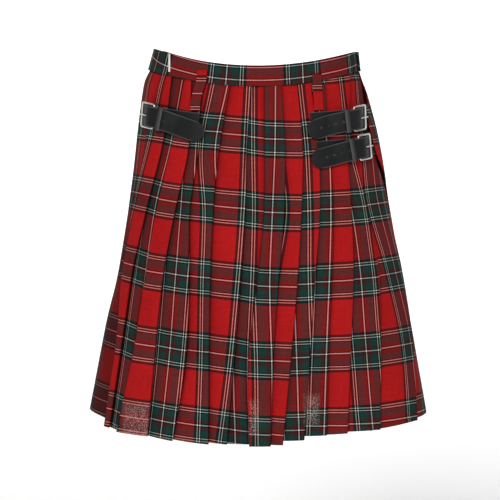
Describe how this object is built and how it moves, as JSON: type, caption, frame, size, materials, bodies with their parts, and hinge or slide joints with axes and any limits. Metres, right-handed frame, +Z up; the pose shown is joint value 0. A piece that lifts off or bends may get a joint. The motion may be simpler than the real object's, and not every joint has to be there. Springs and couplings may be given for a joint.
{
  "type": "kilt",
  "caption": "Red tartan kilt in its worn shape, hollow, with knife pleats, two plain aprons, a waistband, two belt loops and three black leather straps with buckles.",
  "frame": {"origin": "centre of the waist opening, half way up the waistband at the centre of the pleated side", "axes": "+Z up along the wearer's height, -Y towards the pleated side (the wearer's back), +X towards the side with two straps"},
  "size_m": [0.5432, 0.3827, 0.6119],
  "materials": {
    "tartan": "woven twill wool, red tartan with green and navy blocks and white, yellow and black lines",
    "leather": "smooth black leather, satin",
    "chrome": "polished nickel-coloured plate"
  },
  "bodies": {
    "root": {"pleated_panel": "tartan", "over_apron": "tartan", "under_apron": "tartan", "waistband": "tartan", "belt_loop_left": "tartan", "belt_loop_right": "tartan", "strap_left": "leather", "chape_left": "leather", "keeper_left": "leather", "buckle_left": "chrome", "prong_left": "chrome", "strap_right_upper": "leather", "chape_right_upper": "leather", "keeper_right_upper": "leather", "buckle_right_upper": "chrome", "prong_right_upper": "chrome", "strap_right_lower": "leather", "chape_right_lower": "leather", "keeper_right_lower": "leather", "buckle_right_lower": "chrome", "prong_right_lower": "chrome"}
  },
  "joints": []
}
